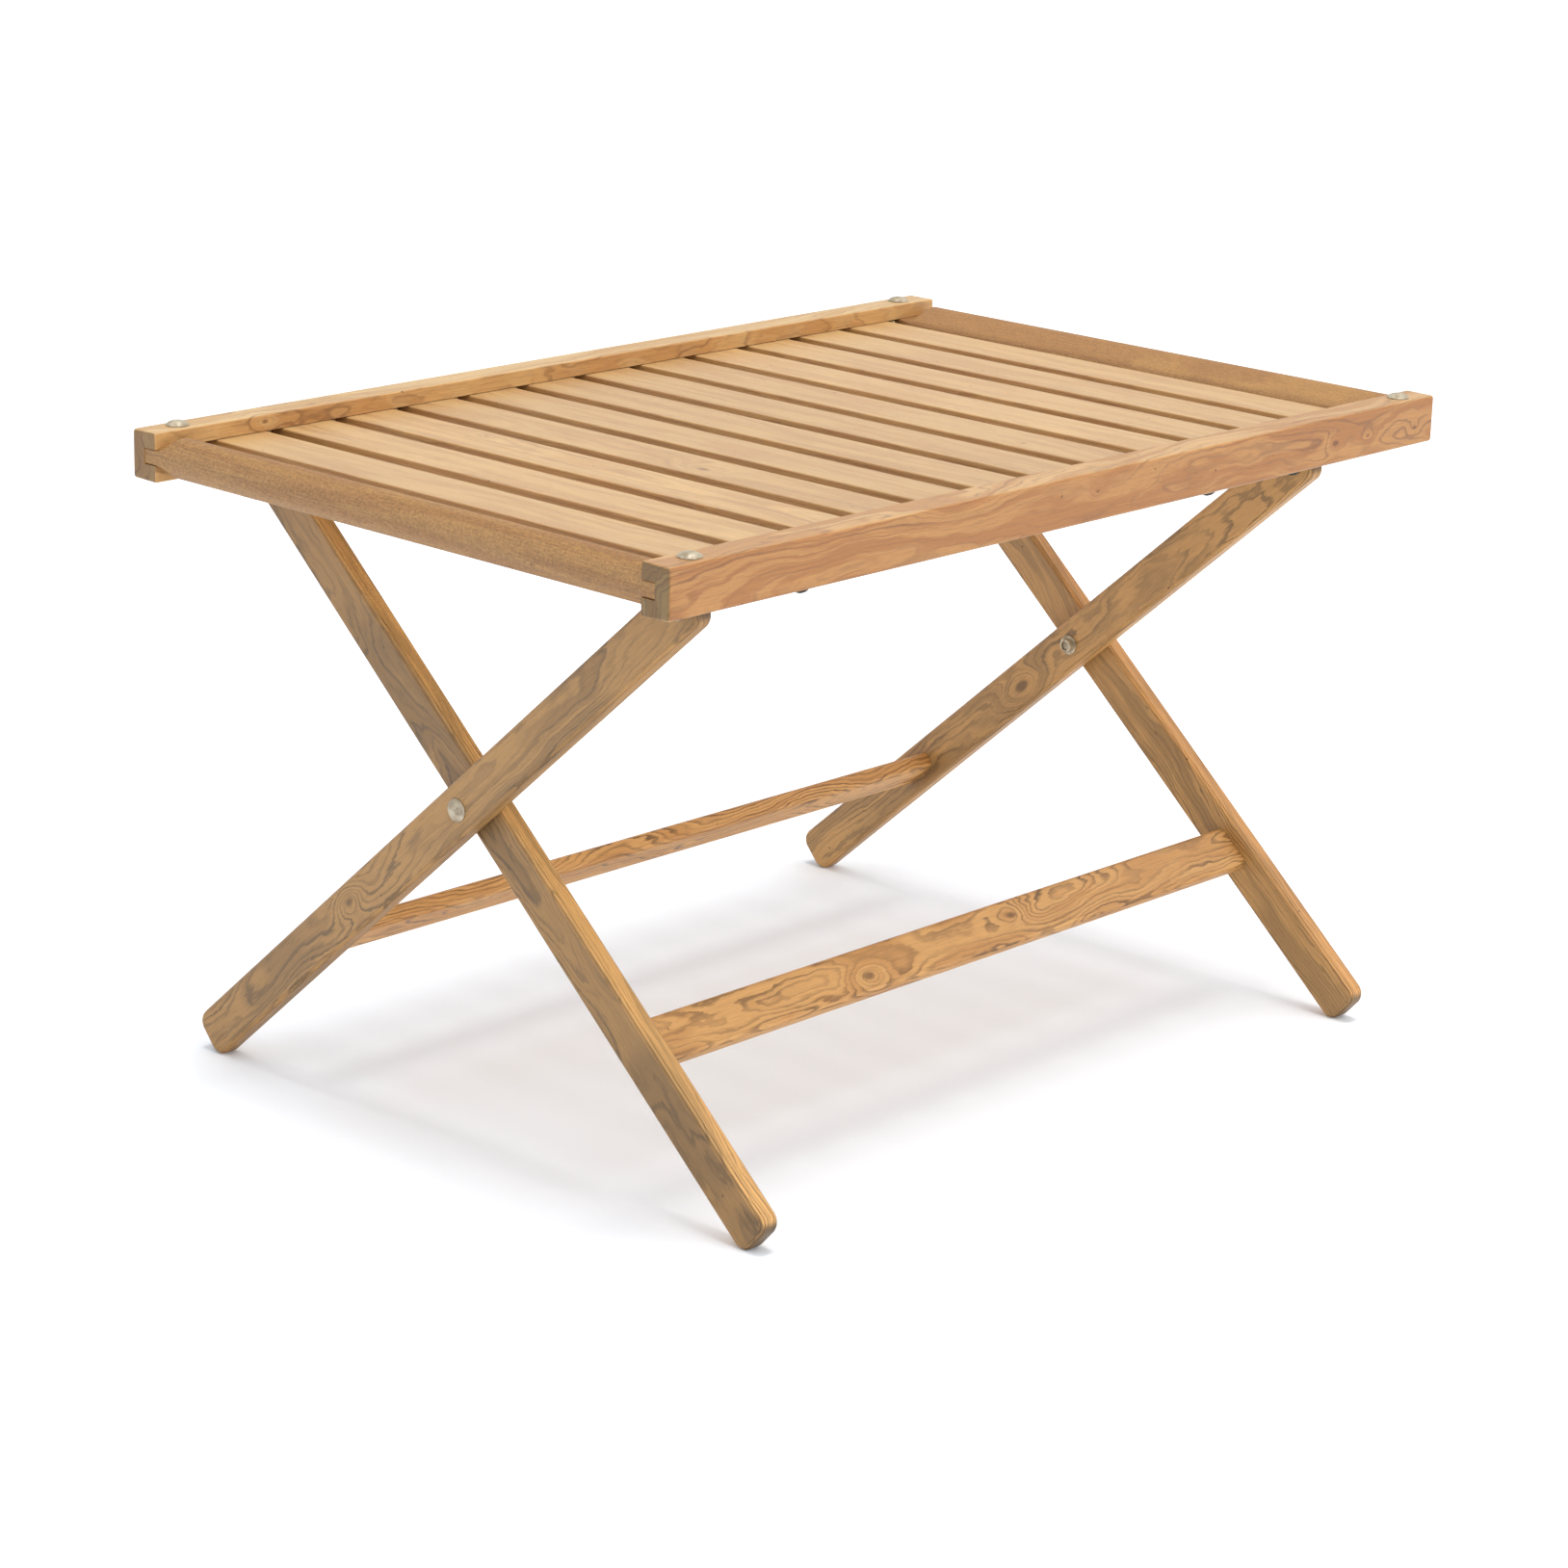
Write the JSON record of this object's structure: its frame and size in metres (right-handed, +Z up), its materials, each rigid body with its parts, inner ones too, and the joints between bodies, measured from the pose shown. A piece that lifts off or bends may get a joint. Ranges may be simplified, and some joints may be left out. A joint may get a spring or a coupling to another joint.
{
  "type": "folding picnic table",
  "caption": "Low slatted wooden table whose crossed leg frames fold together under the top.",
  "frame": {"origin": "on the floor, straight below the middle of the two scissor pivots, which is the bottom centre of the open table's box", "axes": "+Z up, X along the table's length, +Y towards the far side, where the second leg frame stops under the top"},
  "size_m": [0.9, 0.6136, 0.532],
  "materials": {
    "rail_wood": "sanded, clear satin oil",
    "end_rail_wood": "sanded, slightly fuzzy",
    "slat_wood": "sanded, clear satin oil",
    "leg_wood": "sanded, clear satin oil",
    "stretcher_wood": "sanded, clear satin oil",
    "peg_wood": "plain birch",
    "rest_wood": "plain sawn",
    "nickel_steel": "satin nickel plate",
    "zinc_steel": "zinc plate",
    "rod_steel": "drawn steel",
    "bracket_steel": "black lacquer",
    "screw_steel": "zinc plate"
  },
  "bodies": {
    "tabletop": {"near_rail": "rail_wood", "far_rail": "rail_wood", "left_end_rail": "end_rail_wood", "right_end_rail": "end_rail_wood", "slat_01": "slat_wood", "slat_02": "slat_wood", "slat_03": "slat_wood", "slat_04": "slat_wood", "slat_05": "slat_wood", "slat_06": "slat_wood", "slat_07": "slat_wood", "slat_08": "slat_wood", "slat_09": "slat_wood", "slat_10": "slat_wood", "slat_11": "slat_wood", "slat_12": "slat_wood", "slat_pegs": "peg_wood", "corner_bolts": "nickel_steel", "corner_washers": "zinc_steel", "corner_nuts": "zinc_steel", "hinge_rod": "rod_steel", "hinge_brackets": "bracket_steel", "hinge_bracket_screws": "screw_steel", "hinge_rod_washers": "zinc_steel", "hinge_rod_nuts": "zinc_steel", "leg_rest_left": "rest_wood", "leg_rest_right": "rest_wood", "leg_rest_screws": "screw_steel"},
    "frame_one": {"leg_left_outer": "leg_wood", "leg_right_inner": "leg_wood", "far_stretcher": "stretcher_wood", "far_stretcher_dowels": "peg_wood", "pivot_bolts": "nickel_steel", "pivot_spacer_washers": "zinc_steel", "pivot_nut_washers": "zinc_steel", "pivot_nuts": "zinc_steel"},
    "frame_two": {"leg_left_inner": "leg_wood", "leg_right_outer": "leg_wood", "near_stretcher": "stretcher_wood", "near_stretcher_dowels": "peg_wood"}
  },
  "joints": [
    {"name": "frame_one_hinge", "type": "hinge", "parent": "tabletop", "child": "frame_one", "pos_m": [0, -0.22716, 0.47501], "axis": [-1, 0, 0], "range_deg": [0, 43]},
    {"name": "scissor", "type": "hinge", "parent": "frame_one", "child": "frame_two", "pos_m": [0, 0, 0.27404], "axis": [1, 0, 0], "range_deg": [0, 86]}
  ],
  "couplings": [
    {"joint": "scissor", "follows": "frame_one_hinge", "ratio": 2}
  ]
}
